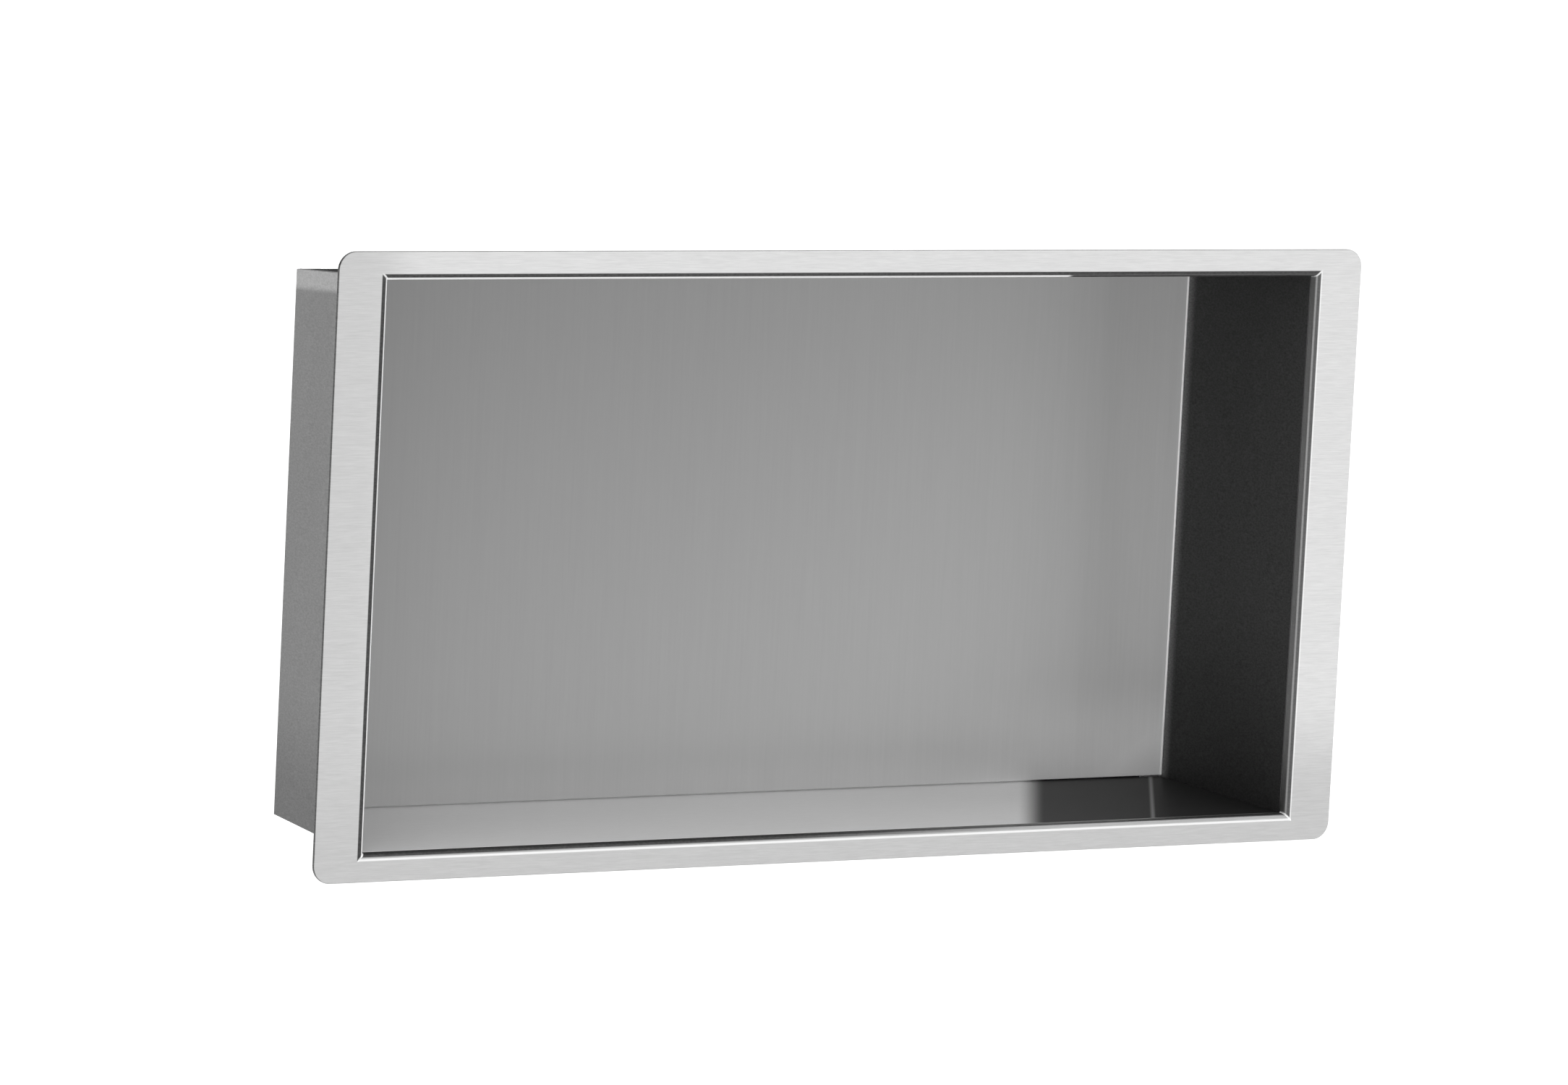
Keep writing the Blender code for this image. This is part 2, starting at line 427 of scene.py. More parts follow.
class ShaderTree:
    """The node tree of a material or a world, filled through one method."""

    def __init__(self, owner: bpy.types.ID) -> None:
        """Empties the owner's tree, to be filled anew."""
        owner.use_nodes = True
        self.tree = owner.node_tree
        self.tree.nodes.clear()

    def node(self, kind: str, settings: dict[str, Any], inputs: dict[Any, Any]) -> Outlets:
        """Adds a node.

        Args:
            kind: The node's type.
            settings: Its properties, set before its sockets.
            inputs: What goes into each of its sockets, by name or number: a number, a colour or a Wire.

        Returns:
            The node's outputs.
        """
        node = self.tree.nodes.new(kind)
        for name, value in settings.items():
            setattr(node, name, value)
        for name, value in inputs.items():
            socket = node.inputs[name]
            if isinstance(value, Wire):
                self.tree.links.new(value.socket, socket)
            else:
                socket.default_value = value
        return Outlets(self, node)

    def place(self) -> Wire:
        """Object coordinates, which are metres in the row frame because every piece sits at the origin."""
        return self.node("ShaderNodeTexCoord", {}, {})["Object"]

    def axes(self) -> tuple[Wire, Wire, Wire]:
        """The three Object coordinates as numbers."""
        split = self.node("ShaderNodeSeparateXYZ", {}, {"Vector": self.place()})
        return split["X"], split["Y"], split["Z"]

    def trait(self, name: str) -> Wire:
        """A value that the mesh holds at its points."""
        return self.node("ShaderNodeAttribute", {"attribute_name": name}, {})["Fac"]

    def noise(self, cell: Sequence[float], detail: float, roughness: float = 0.55) -> Wire:
        """Smooth noise from -1 to 1 about 0, whose cells have the given size along X, Y and Z."""
        scale = tuple(1.0 / size for size in cell)
        stretched = self.node(
            "ShaderNodeVectorMath", {"operation": "MULTIPLY"}, {0: self.place(), 1: scale}
        )["Vector"]
        grain = self.node(
            "ShaderNodeTexNoise",
            {"noise_dimensions": "3D"},
            {"Vector": stretched, "Scale": 1.0, "Detail": detail, "Roughness": roughness},
        )["Fac"]
        return (grain - 0.5) * 2

    def finish(self, shader: Wire, kind: str = "ShaderNodeOutputMaterial") -> None:
        """Links the shader to the tree's output."""
        self.node(kind, {}, {"Surface": shader})


@dataclass(frozen=True)
class Grain:
    """One scale of brush line: its size along X, Y and Z, and how far it moves tone and roughness."""

    cell: tuple[float, float, float]
    tone: float
    polish: float = 0.0
    detail: float = 2.0


@dataclass(frozen=True)
class SteelFinish:
    """Stainless steel with a worked surface.

    Attributes:
        tone: Reflectance of the surface, as a grey.
        roughness: Mean roughness.
        grains: The brush lines, broad ones first; the last one also lifts the surface.
        relief: Height of the last grain's ridges.
        stretch: Anisotropy of the highlights.
        turn: Turn of the stretch, as a share of a full turn.
        grazing: Tint of the reflection at a grazing view.
        edge_polish_and_painted_light: Share by which the rim's tone is raised: a little for a rubbed
        edge, while a large share is a painted highlight and a share below 0 a painted shade.
        metallic: Share of mirror-like metal; the rest scatters light as a fine blasted surface does.
        gloss: Specular level of the scattering share.
    """

    tone: float
    roughness: float
    grains: tuple[Grain, ...]
    relief: float = 2e-6
    stretch: float = 0.0
    turn: float = 0.0
    grazing: float = 1.0
    edge_polish_and_painted_light: float = 0.12
    metallic: float = 1.0
    gloss: float = 0.5

    def shader(self, tree: ShaderTree, paint: Any = 1.0) -> Wire:
        """The finish as a shader.

        Args:
            tree: Tree to build in.
            paint: Factor on the tone, mostly painted light and shade, and also a soft band beside a weld.

        Returns:
            The Principled shader's output.
        """
        edge = tree.trait("edge")
        waves = [tree.noise(grain.cell, grain.detail) for grain in self.grains]
        # The rim's tone: a small raise for a rubbed edge; a large raise is a painted highlight, a drop a
        # painted shade.
        tone = 1 + edge * self.edge_polish_and_painted_light
        roughness = self.roughness - edge * 0.08
        for grain, wave in zip(self.grains, waves):
            tone = tone + wave * grain.tone
            if grain.polish:
                roughness = roughness + wave * grain.polish
        ridges = tree.node(
            "ShaderNodeBump", {}, {"Height": waves[-1], "Strength": 1.0, "Distance": self.relief}
        )["Normal"]
        return tree.node(
            "ShaderNodeBsdfPrincipled",
            {},
            {
                "Base Color": (tone * paint * self.tone).clamped(),
                "Roughness": roughness.clamped(),
                "Metallic": self.metallic,
                "Specular IOR Level": self.gloss,
                "Anisotropic": self.stretch,
                "Anisotropic Rotation": self.turn,
                "Specular Tint": (self.grazing, self.grazing, self.grazing, 1.0),
                "Normal": ridges,
            },
        )["BSDF"]


def mixed(tree: ShaderTree, first: Wire, second: Wire, share: Wire) -> Wire:
    """The first shader where share is 0 and the second where it is 1."""
    return tree.node("ShaderNodeMixShader", {}, {0: share, 1: first, 2: second})["Shader"]


# ---------------------------------------------------------------- finishes of this niche, with painted light and shade

# Flange steel; its rim is painted near black, a painted shade along the flange's edges.
FLANGE_FINISH = SteelFinish(
    tone=0.66,
    roughness=0.34,
    grains=(
        Grain((0.18, 0.03, 0.05), 0.02, 0.02),
        Grain((0.030, 0.004, 0.0012), 0.04, 0.02, 3.0),
        Grain((0.009, 0.004, 0.0005), 0.16, 0.03, 3.0),
    ),
    relief=1e-6,
    stretch=0.5,
    turn=0.25,
    edge_polish_and_painted_light=-0.92,
)

# The walls' outer steel, painted at less than half the flange's tone: a painted shade.
OUTER_WALL_FINISH = SteelFinish(
    tone=0.285,
    roughness=0.38,
    grains=(
        Grain((0.06, 0.06, 0.12), 0.04, 0.02),
        Grain((0.010, 0.010, 0.0016), 0.05, 0.03, 3.0),
        Grain((0.0018, 0.0022, 0.0008), 0.34, 0.04, 3.0),
    ),
    relief=1e-6,
    grazing=0.3,
)

# Near-black matt paint on the top wall's outside: a painted shade, not a finish of the steel.
PAINTED_TOP_SHADE_FINISH = SteelFinish(
    tone=0.035,
    roughness=0.80,
    grains=(Grain((0.030, 0.010, 0.010), 0.10, 0.0),),
    metallic=0.0,
    gloss=0.0,
)

# A near-black copy of the steel for the inner walls and the flange's dark lines: painted shade, standing for
# the dark surroundings that the steel mirrors.
SHADED_WALL_FINISH = SteelFinish(
    tone=0.066,
    roughness=0.45,
    grains=(
        Grain((0.06, 0.06, 0.12), 0.06, 0.02),
        Grain((0.006, 0.004, 0.0020), 0.12, 0.03, 3.0),
        Grain((0.0016, 0.0016, 0.0009), 0.65, 0.04, 3.0),
    ),
    relief=1e-6,
    grazing=0.15,
    metallic=0.6,
    gloss=0.2,
)

# A copy of the steel painted lighter than the flange, for the shelf inside the floor: a painted reflection
# of the light in the niche.
FLOOR_FINISH = SteelFinish(
    tone=0.77,
    roughness=0.34,
    grains=(
        Grain((0.12, 0.05, 0.05), 0.02, 0.02),
        Grain((0.030, 0.0020, 0.004), 0.03, 0.02, 3.0),
        Grain((0.006, 0.0012, 0.004), 0.05, 0.02, 3.0),
    ),
    relief=1e-6,
    metallic=0.3,
    gloss=0.4,
)

# A near-black copy of the steel for the shelf's right end: a painted reflection of the dark side wall.
SHADED_FLOOR_FINISH = SteelFinish(
    tone=0.054,
    roughness=0.45,
    grains=(
        Grain((0.06, 0.06, 0.12), 0.06, 0.02),
        Grain((0.0030, 0.0016, 0.004), 0.25, 0.02, 3.0),
    ),
    relief=1e-6,
    grazing=0.05,
    metallic=0.2,
    gloss=0.08,
)

# The panel's steel; its rim is nearly doubled in tone, a painted highlight along the panel's edges.
PANEL_FINISH = SteelFinish(
    tone=0.362,
    roughness=0.45,
    grains=(
        Grain((0.12, 0.05, 0.16), 0.02, 0.02),
        Grain((0.0060, 0.004, 0.14), 0.03, 0.02, 3.0),
        Grain((0.0012, 0.004, 0.050), 0.04, 0.02, 3.0),
    ),
    relief=1e-6,
    stretch=0.75,
    edge_polish_and_painted_light=0.9,
    metallic=0.35,
    gloss=0.3,
)

# A near-white tone for the bond bead: a painted highlight along the rear panel's edges.
BOND_BEAD_HIGHLIGHT_FINISH = SteelFinish(
    tone=0.95,
    roughness=0.45,
    grains=(Grain((0.004, 0.004, 0.004), 0.06, 0.0),),
    metallic=0.2,
)

# Near-white steel for the bright lines on the flange's roll and mitres: painted highlight.
PAINTED_HIGHLIGHT_FINISH = SteelFinish(
    tone=0.97,
    roughness=0.30,
    grains=(Grain((0.010, 0.010, 0.010), 0.02, 0.0),),
    edge_polish_and_painted_light=0.0,
    metallic=0.2,
)


def painted_material(name: str, surface: Callable[[ShaderTree], Wire]) -> bpy.types.Material:
    """A material whose shader the given function builds."""
    material = bpy.data.materials.new(name)
    tree = ShaderTree(material)
    tree.finish(surface(tree))
    return material


def show(
    name: str, shells: Sequence[Shell], material: bpy.types.Material, slot: Slot, *nodes: str
) -> bpy.types.Object:
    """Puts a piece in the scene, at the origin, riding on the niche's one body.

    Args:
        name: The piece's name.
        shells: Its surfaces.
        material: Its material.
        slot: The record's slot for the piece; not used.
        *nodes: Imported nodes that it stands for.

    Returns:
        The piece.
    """
    piece = bpy.data.objects.new(name, Shell.joined(shells).mesh(name))
    bpy.context.scene.collection.objects.link(piece)
    piece.data.materials.append(material)
    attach(piece, ROOT_BODY)
    if nodes:
        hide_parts(*nodes)
    LOG.info("%s: %d faces, stands for %s", name, len(piece.data.polygons), ", ".join(nodes) or "no node")
    return piece


# ---------------------------------------------------------------- sub-assemblies


@dataclass(frozen=True)
class Draft:
    """How the box narrows: the distance that each wall leans in over one metre of depth."""

    front: float
    slopes: dict[Side, float]

    @classmethod
    def from_frame(cls, allowance: float = 0.0020) -> "Draft":
        """Works the slopes out from the walls' front edges and the rear panel's edges.

        Args:
            allowance: Wall gauge plus the clearance round the panel.

        Returns:
            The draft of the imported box.
        """
        low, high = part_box("back_panel")
        panel = {Side.TOP: high.z, Side.BOTTOM: -low.z, Side.LEFT: -low.x, Side.RIGHT: high.x}
        nodes = {side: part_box(f"{side.name.lower()}_wall") for side in Side}
        outer = {
            Side.TOP: nodes[Side.TOP][1].z,
            Side.BOTTOM: -nodes[Side.BOTTOM][0].z,
            Side.LEFT: -nodes[Side.LEFT][0].x,
            Side.RIGHT: nodes[Side.RIGHT][1].x,
        }
        front = nodes[Side.LEFT][0].y
        slopes = {side: (outer[side] - allowance - panel[side]) / (high.y - front) for side in Side}
        return cls(front, slopes)

    def inward(self, side: Side, depth: Any) -> Any:
        """How far a wall has leaned in at a depth."""
        return self.slopes[side] * (depth - self.front)


@dataclass
class FrontFlange:
    """The flat face frame, with the edge of its opening rolled back into a short lip."""

    half_width: float
    half_height: float
    front: float
    lip_end: float
    half_opening_width: float
    half_opening_height: float
    corner_radius: float = 0.0095
    gauge: float = 0.0020
    roll_radius: float = 0.0030
    edge: float = 0.0003

    @classmethod
    def from_frame(cls, stile: float = 0.028, rail: float = 0.0145) -> "FrontFlange":
        """Reads the flange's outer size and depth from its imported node."""
        low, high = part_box("front_flange")
        return cls(high.x, high.z, low.y, high.y, high.x - stile, high.z - rail)

    def side_surface(self, side: Side) -> MiddleSurface:
        """The middle surface of one side of the frame, from one mitre to the next.

        Along the side the columns follow the outline: half a corner arc, the straight, half an arc.
        Each keeps its share of the side, along / mitre, at every distance from the opening, so all
        sides meet on the mitres. Across the side the section runs straight in over the face, turns
        through the roll, o = R - r sin t and y = front + R - r cos t with r the radius at
        mid gauge, and goes straight back along the lip.

        Args:
            side: Which side of the frame.

        Returns:
            The side's middle surface, with a trait for each side of the frame: 1 on its own side.
        """
        outward = side.outward
        heading = np.cross(outward, DEPTH_AXIS)
        opening, reach = self.half_opening_height, self.half_height
        opening_end, reach_end = self.half_opening_width, self.half_width
        if side.upright:
            opening, opening_end = opening_end, opening
            reach, reach_end = reach_end, reach

        radius = self.corner_radius
        bend = np.linspace(math.pi / 4, 0.0, 7)
        arc_along = reach_end - radius + radius * np.sin(bend)
        middle_run = np.linspace(-(reach_end - radius), reach_end - radius, 26)[1:-1]
        along = np.concatenate([-arc_along, middle_run, arc_along[::-1]])
        angle = np.concatenate([-bend, np.zeros(len(middle_run)), bend[::-1]])
        share = along / (reach_end - radius + radius * math.sin(math.pi / 4))
        inset = self.edge
        rim_along = along - inset * np.sin(angle)
        rim_across = reach - radius + (radius - inset) * np.cos(angle)
        outline_out = heading * np.sin(angle)[:, None] + outward * np.cos(angle)[:, None]

        half = self.gauge / 2
        flat_y = self.front + half
        straight = np.linspace(0.0, 1.0, 7)[None, :-1]
        start = self.roll_radius
        flat_along = blend(rim_along[:, None], (share * (opening_end + start))[:, None], straight)
        flat_across = blend(rim_across[:, None], opening + start, straight)
        turn = np.linspace(0.0, math.pi / 2, 13)
        bent = self.roll_radius - half
        offset = np.concatenate([start - bent * np.sin(turn), [half]])
        depth = np.concatenate(
            [self.front + self.roll_radius - bent * np.cos(turn), [self.lip_end - self.edge]]
        )
        tilt = np.concatenate([turn, [math.pi / 2]])
        section_along = share[:, None] * (opening_end + offset)[None]
        section_across = np.broadcast_to(opening + offset, section_along.shape)

        run = np.concatenate([flat_along, section_along], axis=1)[..., None]
        away = np.concatenate([flat_across, section_across], axis=1)[..., None]
        tilts = np.concatenate([np.zeros(straight.shape[1]), tilt])
        depths = np.concatenate([np.full(straight.shape[1], flat_y), depth])
        sine, cosine = np.sin(tilts)[None, :, None], np.cos(tilts)[None, :, None]
        points = run * heading + depths[None, :, None] * DEPTH_AXIS + away * outward
        normal = np.broadcast_to(-sine * outward - cosine * DEPTH_AXIS, points.shape)
        lean = normal - sine * share[:, None, None] * heading
        across = np.broadcast_to(sine * DEPTH_AXIS - cosine * outward, points.shape).copy()
        across[:, 0] = -outline_out
        own = {each.name.lower(): np.full(points.shape[:2], float(each is side)) for each in Side}
        return MiddleSurface(points, np.broadcast_to(heading, points.shape), across, normal, lean, own)

    def surface(self, tree: ShaderTree) -> Wire:
        """Brushed face with painted shade deepening it at the left, the foot and the rim, and tight dark and
        bright lines painted along the roll and at the mitres: painted reflections of what a polished bend
        mirrors of the box and the room.

        Args:
            tree: Tree to build in.

        Returns:
            The flange's shader.
        """
        width, depth, height = tree.axes()
        beside = abs(width) - self.half_opening_width
        above = abs(height) - self.half_opening_height
        outside = tree.node("ShaderNodeMath", {"operation": "MAXIMUM"}, {0: beside, 1: above})["Value"]
        top, foot, left, right = (
            tree.trait(side.name.lower()) for side in (Side.TOP, Side.BOTTOM, Side.LEFT, Side.RIGHT)
        )
        # Painted shade: the face darker towards the foot and, above it, at the left stile.
        low = height.falling(-0.140, -0.075)
        shade = 1 - width.falling(-0.290, -0.255) * 0.17 * (1 - low) - low * 0.23
        plain_end = width.falling(0.1215, 0.1255)

        # Painted highlights: thin bright lines along the roll on each side, and at the mitres.
        bright = top * outside.falling(0.0009, 0.0014) * plain_end
        bright = bright + left * outside.falling(0.0013, 0.0019)
        bright = bright + foot * outside.stripe(0.0024, 0.0036) * 0.7
        bright = bright + right * outside.stripe(0.0028, 0.0034) * 0.6
        mitre = abs(beside - above).falling(0.0003, 0.0010) * outside.falling(0.0030, 0.0042)
        bright = bright + mitre * (0.3 + foot * 0.5)
        # Painted reflections: thin dark lines along the roll, and the top line dark where it ends.
        dark = top * outside.stripe(0.0012, 0.0031)
        dark = dark + top * outside.falling(0.0010, 0.0014) * (1 - plain_end) * 0.85
        dark = dark + left * outside.stripe(0.0016, 0.0038)
        dark = dark + foot * outside.falling(0.0014, 0.0021) * (0.35 + 0.65 * width.falling(-0.05, 0.16))
        right_lines = outside.stripe(0.0010, 0.0026) * 0.92 + outside.falling(0.0007, 0.0013) * 0.60
        dark = dark + right * right_lines
        face = FLANGE_FINISH.shader(tree, shade)
        lit = mixed(tree, face, PAINTED_HIGHLIGHT_FINISH.shader(tree), bright.clamped())
        return mixed(tree, lit, SHADED_WALL_FINISH.shader(tree), (dark * (1 - mitre)).clamped())

    def build(self) -> bpy.types.Object:
        """Makes the flange in the scene."""
        shells = [self.side_surface(side).sheet(self.gauge, self.edge, open_ends=True) for side in Side]
        material = painted_material("linished_steel", self.surface)
        return show("flange_sheet", shells, material, Slot.FLANGE, "front_flange")


@dataclass
class BoxWall:
    """One wall of the box: a leaning sheet bent inwards at the rear into a narrow return."""

    side: Side
    draft: Draft
    gauge: float = 0.0012
    bend_radius: float = 0.0020
    return_width: float = 0.0140
    notch_gap: float = 0.0003
    edge: float = 0.00025

    @property
    def node(self) -> str:
        """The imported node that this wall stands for."""
        return f"{self.side.name.lower()}_wall"

    def place(self) -> tuple[float, float, float, float]:
        """Distance of the outer face, half length along the opening, and front and rear depth."""
        low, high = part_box(self.node)
        outer, half_length = (high.z, high.x) if not self.side.upright else (high.x, high.z)
        if self.side is Side.LEFT:
            outer = -low.x
        if self.side is Side.BOTTOM:
            outer = -low.z
        return outer, half_length, low.y, high.y

    def section(self) -> tuple[np.ndarray, np.ndarray, np.ndarray, int]:
        """The wall's section at mid gauge.

        With a the angle of the lean and k = tan a, the wall runs back along
        d = outer - gauge / (2 cos a) - k (y - front). The bend turns through t = a to 90 degrees,
        d = c + r cos t and y = rear - R + r sin t with r the radius at mid gauge, where c puts the
        start of its outer face on the wall's own. The return runs straight in from the bend's end.

        Returns:
            Distance from the middle of the opening, depth and tilt of each point, and the number of
            points before the bend.
        """
        outer, _, front, rear = self.place()
        slope = self.draft.slopes[self.side]
        lean = math.atan(slope)
        half = self.gauge / 2
        radius, bent = self.bend_radius, self.bend_radius - half
        bend_start = rear - radius
        flat_depth = stations(front + self.edge, bend_start - self.edge, bend_start, steps=(10, 1))[:-1]
        flat = outer - half / math.cos(lean) - slope * (flat_depth - front)
        turn = np.linspace(lean, math.pi / 2, 9)
        tangent = outer - slope * (bend_start + radius * math.sin(lean) - front)
        centre = tangent - radius * math.cos(lean)
        stop = outer - slope * (rear - self.gauge - front) - self.return_width + self.edge
        returned = np.linspace(centre, stop, 5)[1:]
        distance = np.concatenate([flat, centre + bent * np.cos(turn), returned])
        depth = np.concatenate(
            [flat_depth, bend_start + bent * np.sin(turn), np.full(len(returned), rear - half)]
        )
        tilt = np.concatenate(
            [np.full(len(flat_depth), lean), turn, np.full(len(returned), math.pi / 2)]
        )
        return distance, depth, tilt, len(flat_depth)

    def surface_grid(self) -> tuple[MiddleSurface, Optional[np.ndarray]]:
        """The wall's middle surface and, where its return is shorter than the wall, the cells it has.

        Each end of the wall follows its neighbour's lean, so a row of the grid is a straight line
        only between the two notches.

        Returns:
            The middle surface, and the mask of its cells or None for all of them.
        """
        distance, depth, tilt, bend_column = self.section()
        _, half_length, _, rear = self.place()
        outward = self.side.outward
        heading = np.cross(DEPTH_AXIS, outward)
        near, far = (
            next(side for side in Side if np.allclose(side.outward, sign * heading)) for sign in (-1, 1)
        )
        low_end = -(half_length - self.edge - self.draft.inward(near, depth))
        high_end = half_length - self.edge - self.draft.inward(far, depth)
        cells = None
        if self.side.upright:
            run = blend(low_end, high_end, np.linspace(0.0, 1.0, 31)[:, None])
        else:
            _, side_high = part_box("right_wall")
            reach = side_high.x - self.draft.inward(far, rear)
            return_end = reach - self.return_width - self.notch_gap
            notch = np.full(len(depth), return_end - self.edge)
            shares = np.linspace(0.0, 1.0, 4)[:, None]
            left, right = blend(low_end, -notch, shares[:-1]), blend(notch, high_end, shares)
            middle_rows = blend(-notch, notch, np.linspace(0.0, 1.0, 41)[:-1, None])
            run = np.concatenate([left, middle_rows, right])
            inside = np.abs((run[:-1, -1] + run[1:, -1]) / 2) < return_end - self.edge
            cells = inside[:, None] | (np.arange(len(depth) - 1) < bend_column - 1)[None]
        sine, cosine = np.sin(tilt)[None, :, None], np.cos(tilt)[None, :, None]
        points = (
            run[..., None] * heading
            + depth[None, :, None] * DEPTH_AXIS
            + distance[None, :, None] * outward
        )
        normal = np.broadcast_to(cosine * outward + sine * DEPTH_AXIS, points.shape)
        across = np.broadcast_to(cosine * DEPTH_AXIS - sine * outward, points.shape)
        along = np.broadcast_to(heading, points.shape)
        return MiddleSurface(points, along, across, normal, normal, {}), cells

    def surface(self, tree: ShaderTree) -> Wire:
        """Brushed outside, with a light band along its top edge and painted shade towards its foot; the top
        wall's outside is painted near black, a painted shade, but for its rear edge. The inside is painted
        dark, with a painted reflection that lightens it beside the rear panel and painted shade towards its
        foot.
        The dark paint stands for what the steel mirrors.

        Args:
            tree: Tree to build in.

        Returns:
            The wall's shader.
        """
        _, depth, height = tree.axes()
        inner = tree.trait("inner")
        if self.side is Side.TOP:
            # Painted shade: the top wall's outside near black, but for a strip at its rear edge.
            rear = depth.rising(0.1135, 0.1150)
            outside = mixed(tree, PAINTED_TOP_SHADE_FINISH.shader(tree), OUTER_WALL_FINISH.shader(tree), rear)
        else:
            edge_height = height + (depth - self.draft.front) * self.draft.slopes[Side.TOP]
            band = edge_height.rising(0.1350, 0.1390) * 0.60
            # Painted shade: the outside darker towards its foot.
            foot = height.falling(-0.140, -0.070) * 0.22
            outside = OUTER_WALL_FINISH.shader(tree, 1 + band - foot)
        # Painted reflection of the rear panel lightens the inside beside it; painted shade darkens it
        # towards its foot.
        painted_reflection_and_shade = depth.rising(0.105, 0.1135) * 2.0 - height.falling(-0.130, -0.030) * 0.30
        inside = SHADED_WALL_FINISH.shader(tree, 1 + painted_reflection_and_shade)
        return mixed(tree, outside, inside, inner)

    def build(self) -> bpy.types.Object:
        """Makes the wall in the scene."""
        grid, cells = self.surface_grid()
        name = f"{self.side.name.lower()}_sheet"
        material = painted_material(f"{name}_steel", self.surface)
        return show(name, [grid.sheet(self.gauge, self.edge, cells)], material, Slot.WALL, self.node)


@dataclass
class FloorWall(BoxWall):
    """The bottom wall, whose inside is a shelf painted bright and painted dark towards its right end:
    painted reflections of the niche's light and of the dark side wall.
    """

    # The painted reflection of the dark side wall: where its border crosses the shelf, its slant with depth,
    # the width of the border, and where the painted glint line lies.
    shade_start: float = 0.1172
    shade_slant: float = 0.61
    shade_width: float = 0.018
    glint: float = 0.1940

    def surface(self, tree: ShaderTree) -> Wire:
        """Brushed outside; inside a shelf painted bright that turns dark towards the right along a slant and
        darker still further right, with one thin light line in the dark part: all painted reflections.

        Args:
            tree: Tree to build in.

        Returns:
            The floor's shader.
        """
        width, depth, _ = tree.axes()
        inner = tree.trait("inner")
        slant = width - depth * self.shade_slant
        half_width = self.shade_width / 2
        # Painted reflection of the dark side wall on the shelf, with a thin painted glint in it.
        painted_dark_end = slant.rising(self.shade_start - half_width, self.shade_start + half_width)
        glint = slant.band(self.glint, 0.0022)
        bright = FLOOR_FINISH.shader(tree)
        # The dark end is painted darker still towards the right, a painted reflection of the side wall.
        dark = SHADED_FLOOR_FINISH.shader(tree, 1 - slant.rising(0.10, 0.27) * 0.62)
        shelf = mixed(tree, bright, dark, (painted_dark_end - glint * 0.26).clamped())
        outside = OUTER_WALL_FINISH.shader(tree)
        return mixed(tree, outside, shelf, inner)


@dataclass
class RearPanel:
    """The flat sheet that closes the niche at the back, with its edges broken and a painted highlight on
    them.
    """

    edge: float = 0.0004

    def surface(self, tree: ShaderTree) -> Wire:
        """Satin sheet whose front carries painted light and shade: its tone drifts over its width and
        height, a smooth second-order surface, and lightens near the foot and the right side.

        Args:
            tree: Tree to build in.

        Returns:
            The panel's shader.
        """
        width, _, height = tree.axes()
        side, side_edge = width.rising(0.12, 0.27), width.rising(0.22, 0.275)
        foot, foot_edge = height.falling(-0.145, -0.085), height.falling(-0.145, -0.120)
        # Painted light and shade on the panel's front: a sweep and a swell over the whole face, and a lift
        # near the right side and the foot.
        painted_sweep = 0.954 + width * 0.67 - height * 0.55 - width * height * 0.37
        swell = width * width * 1.8 + height * height * 5.4
        painted_lift = side * 0.05 + side_edge * 0.49 + foot * 0.065 + foot_edge * 0.20
        painted_lift = painted_lift + (side * 0.91 + side_edge * 0.15) * foot
        front = 1 - tree.trait("inner")
        return PANEL_FINISH.shader(tree, 1 + (painted_sweep + swell + painted_lift - 1) * front)

    def build(self) -> bpy.types.Object:
        """Makes the panel in the scene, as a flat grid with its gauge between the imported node's faces."""
        low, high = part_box("back_panel")
        run = np.linspace(low.x + self.edge, high.x - self.edge, 25)
        rise = np.linspace(low.z + self.edge, high.z - self.edge, 13)
        width, height = np.meshgrid(run, rise, indexing="ij")
        points = np.stack([width, np.full(width.shape, (low.y + high.y) / 2), height], axis=-1)
        normal = np.broadcast_to(-DEPTH_AXIS, points.shape)
        along = np.broadcast_to(WIDTH_AXIS, points.shape)
        across = np.broadcast_to(HEIGHT_AXIS, points.shape)
        sheet = MiddleSurface(points, along, across, normal, normal, {}).sheet(high.y - low.y, self.edge)
        material = painted_material("satin_steel", self.surface)
        return show("rear_panel_sheet", [sheet], material, Slot.PANEL, "back_panel")


# ---------------------------------------------------------------- studio


@dataclass(frozen=True)
class StudioCamera:
    """The camera: its place from the middle of the flange's face, and the way it looks."""

    offset: tuple[float, float, float] = (-2.0670, -3.5370, 0.5339)
    lens: float = 182.68
    yaw: float = 29.787
    pitch: float = 7.345
    roll: float = 2.878

    def build(self, target: Vector) -> None:
        """Makes the camera the scene's own.

        Args:
            target: The middle of the flange's face.
        """
        yaw, pitch, roll = (math.radians(a) for a in (self.yaw, self.pitch, self.roll))
        forward = Vector(
            (math.sin(yaw) * math.cos(pitch), math.cos(yaw) * math.cos(pitch), -math.sin(pitch))
        )
        level = Vector((math.cos(yaw), -math.sin(yaw), 0.0))
        down = forward.cross(level)
        right = level * math.cos(roll) - down * math.sin(roll)
        lowered = level * math.sin(roll) + down * math.cos(roll)
        data = bpy.data.cameras.new("studio_camera")
        data.lens = self.lens
        data.sensor_width = 36.0
        data.clip_start, data.clip_end = 0.1, 400.0
        camera = bpy.data.objects.new("studio_camera", data)
        turn = Matrix((right, -lowered, -forward)).transposed().to_4x4()
        camera.matrix_world = Matrix.Translation(target + Vector(self.offset)) @ turn
        bpy.context.scene.collection.objects.link(camera)
        bpy.context.scene.camera = camera


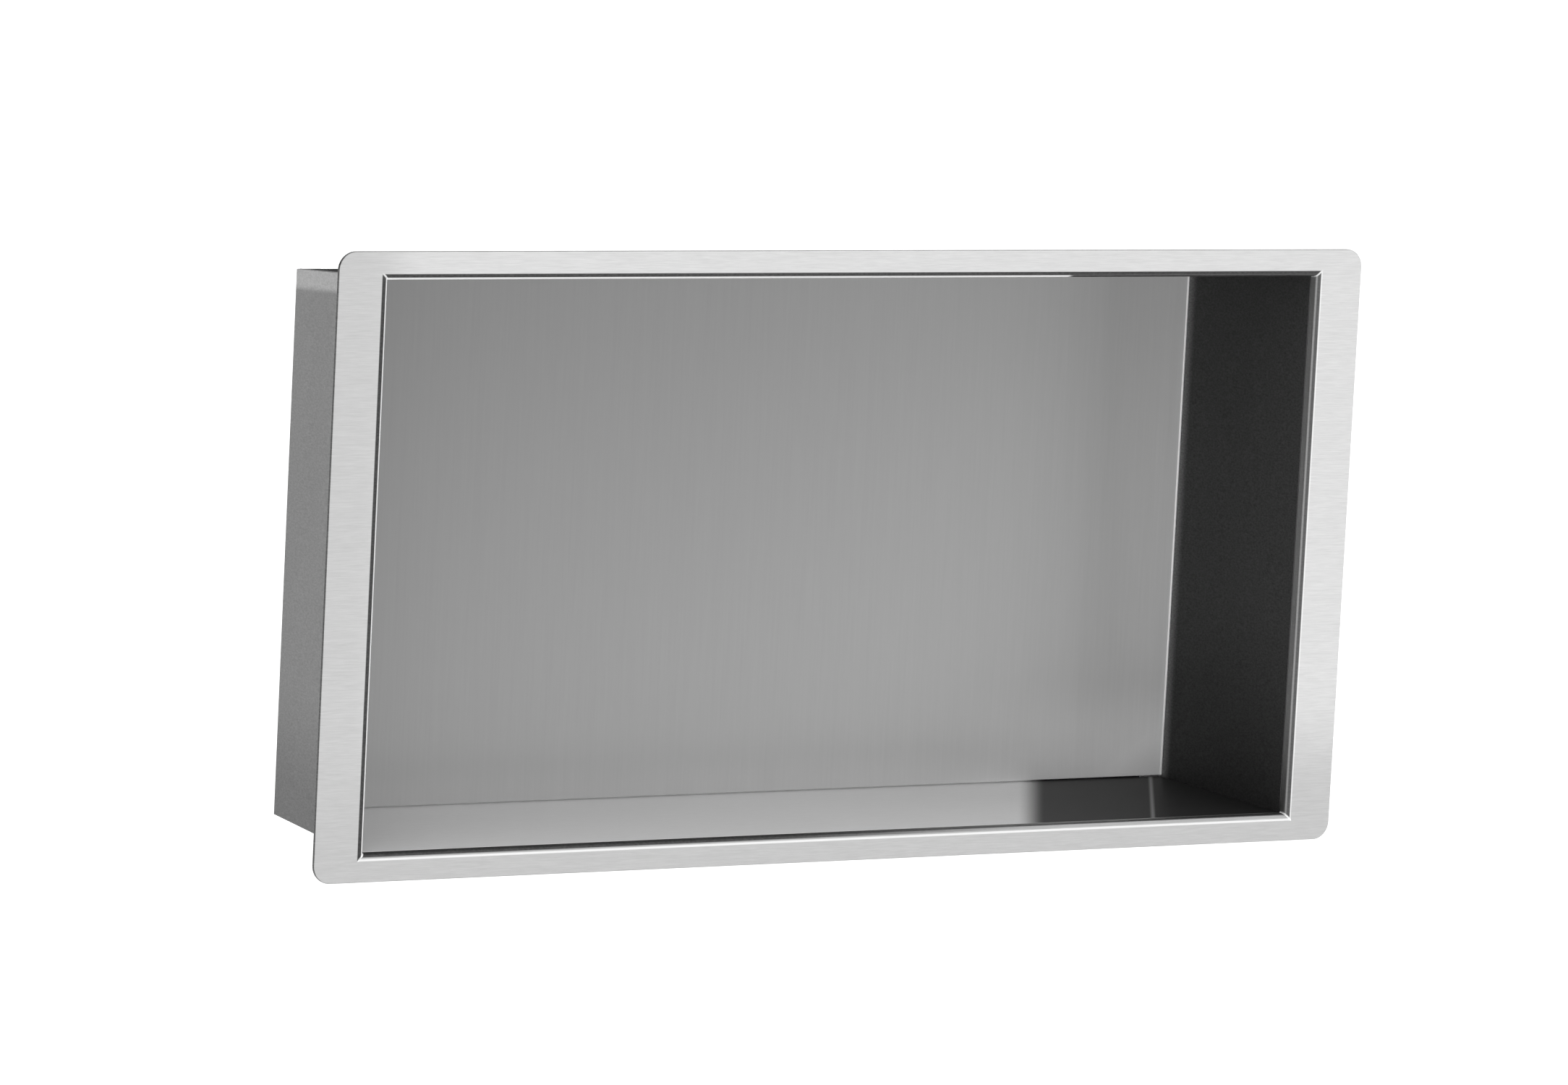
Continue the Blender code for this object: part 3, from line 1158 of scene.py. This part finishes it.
@dataclass(frozen=True)
class Studio:
    """A pale floor under a soft sky, which gives all the light."""

    floor_drop: float = 0.30
    floor_half: float = 90.0
    horizon: float = 0.45
    zenith: float = 2.1
    haze: float = 0.84

    def build(self) -> None:
        """Makes the floor and the sky, and shows tones as they are."""
        low, _ = CAD_BOX
        self._floor(low.z - self.floor_drop)
        self._sky()
        bpy.context.scene.view_settings.view_transform = "Standard"

    def _floor(self, level: float) -> None:
        """A wide flat floor at the given height, matt and pale."""
        half = self.floor_half
        mesh = bpy.data.meshes.new("studio_floor")
        corners = [(-half, -half, level), (half, -half, level), (half, half, level), (-half, half, level)]
        mesh.from_pydata(corners, [], [(0, 1, 2, 3)])
        floor = bpy.data.objects.new("studio_floor", mesh)
        bpy.context.scene.collection.objects.link(floor)

        def matt(tree: ShaderTree) -> Wire:
            """Pale matt paint."""
            return tree.node(
                "ShaderNodeBsdfDiffuse", {}, {"Color": (0.92, 0.92, 0.92, 1.0), "Roughness": 0.0}
            )["BSDF"]

        mesh.materials.append(painted_material("pale_floor", matt))

    def _sky(self) -> None:
        """A sky that brightens to the zenith, with a pale haze that hides the floor's far edge."""
        world = bpy.data.worlds.new("studio_sky")
        bpy.context.scene.world = world
        tree = ShaderTree(world)
        direction = tree.node("ShaderNodeTexCoord", {}, {})["Generated"]
        split = tree.node("ShaderNodeSeparateXYZ", {}, {"Vector": direction})
        height = split["Z"].rising(0.0, 0.9)
        haze = split["Z"].falling(0.075, 0.16) * self.haze
        strength = self.horizon + height * (self.zenith - self.horizon) + haze
        light = tree.node("ShaderNodeBackground", {}, {"Strength": strength})["Background"]
        tree.finish(light, "ShaderNodeOutputWorld")


def seam_welds(draft: Draft) -> bpy.types.Object:
    """Makes the welds along the box's four corners and round the joint of the lip and the box.

    Args:
        draft: How the box narrows, which the corner welds follow.

    Returns:
        The piece that holds all eight beads.
    """
    _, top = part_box("top_wall")
    _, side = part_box("right_wall")
    _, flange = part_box("front_flange")
    sink = 0.0002

    def corner(x: int, z: int, depth: float) -> tuple[float, float, float]:
        """A point on one of the box's corners, by the signs of its place and its depth."""
        width = top.x + 0.00015 - draft.inward(Side.RIGHT, depth)
        height = top.z - sink - draft.inward(Side.TOP if z > 0 else Side.BOTTOM, depth)
        return x * width, depth, z * height

    beads = [
        WeldBead(corner(x, z, draft.front + 0.004), corner(x, z, side.y - 0.0025))
        for x in (-1, 1)
        for z in (-1, 1)
    ]
    lip = flange.y + 0.00015
    x, z = side.x + 0.0002, top.z + 0.0002
    ring = [(-x, lip, z), (x, lip, z), (x, lip, -z), (-x, lip, -z)]
    beads += [WeldBead(a, b, radius=0.0007, pitch=0.0016) for a, b in zip(ring, ring[1:] + ring[:1])]
    material = painted_material("weld_steel", lambda tree: OUTER_WALL_FINISH.shader(tree, 1.3))
    return show("seam_welds", [bead.shell() for bead in beads], material, Slot.WALL)


def panel_bond() -> bpy.types.Object:
    """Makes the bead that bonds the rear panel to the box at its sides and top, its near-white tone a
    painted highlight.

    Returns:
        The piece that holds the three beads.
    """
    low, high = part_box("back_panel")
    radius = 0.0007
    reach = 0.0004
    depth = low.y + 0.0002
    left, right, top = low.x - reach, high.x + reach, high.z + reach
    beads = [
        WeldBead((left, depth, low.z), (left, depth, top), radius, 0.004, 0.02),
        WeldBead((left, depth, top), (right, depth, top), radius, 0.004, 0.02),
        WeldBead((right, depth, top), (right, depth, low.z), radius, 0.004, 0.02),
    ]
    material = painted_material("bond_metal", lambda tree: BOND_BEAD_HIGHLIGHT_FINISH.shader(tree))
    return show("panel_bond", [bead.shell() for bead in beads], material, Slot.PANEL)


def main() -> None:
    """Builds the camera, the studio and each sub-assembly in order."""
    flange_low, flange_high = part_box("front_flange")
    middle = (flange_low + flange_high) / 2
    StudioCamera().build(Vector((middle.x, flange_low.y, middle.z)))
    Studio().build()
    FrontFlange.from_frame().build()
    draft = Draft.from_frame()
    for wall in (
        BoxWall(Side.LEFT, draft),
        BoxWall(Side.RIGHT, draft),
        BoxWall(Side.TOP, draft),
        FloorWall(Side.BOTTOM, draft),
    ):
        wall.build()
    RearPanel().build()
    panel_bond()
    seam_welds(draft)


if __name__ == "__main__":
    logging.basicConfig(level=logging.INFO, format="%(name)s: %(message)s")
    main()
